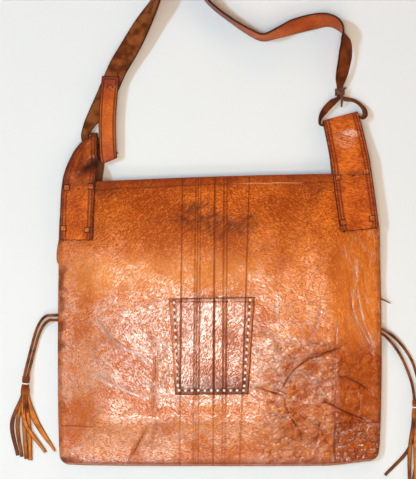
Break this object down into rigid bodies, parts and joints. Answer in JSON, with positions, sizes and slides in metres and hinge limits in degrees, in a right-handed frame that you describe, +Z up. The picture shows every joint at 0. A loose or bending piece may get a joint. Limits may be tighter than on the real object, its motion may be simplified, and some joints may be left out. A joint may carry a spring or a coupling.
{
  "type": "leather shoulder bag",
  "caption": "Worn tan leather shoulder bag lying flat: an open-topped pouch with a laced front pocket, folded strap tabs, a tied shoulder strap and tasselled side thongs.",
  "frame": {"origin": "on the surface the bag lies on, under the middle of the bag with its strap, without thongs and tassels", "axes": "+Z up from the surface through the front, +Y from the bag's bottom to its mouth and strap, +X to the right as seen from the front"},
  "size_m": [0.4536, 0.5433, 0.0305],
  "materials": {
    "panel_leather": "tan hide, waxed and worn, with wrinkles and tooled lines",
    "back_leather": "tan hide, plain and rubbed",
    "pocket_leather": "tan hide, shiny, tooled",
    "tab_leather": "tan hide, darkened edges",
    "strap_leather": "brown hide, smooth outside, rough inside",
    "tie_leather": "dark brown lace",
    "thong_leather": "brown round thong",
    "tassel_leather": "brown cut strips"
  },
  "bodies": {
    "root": {"front_panel": "panel_leather", "back_panel": "back_leather", "pocket_patch": "pocket_leather", "tab_left": "tab_leather", "tab_right": "tab_leather", "shoulder_strap": "strap_leather", "strap_tie": "tie_leather", "thong_left_upper": "thong_leather", "thong_left_lower": "thong_leather", "thong_right_upper": "thong_leather", "thong_right_lower": "thong_leather", "tassel_left": "tassel_leather", "tassel_right": "tassel_leather"}
  },
  "joints": []
}
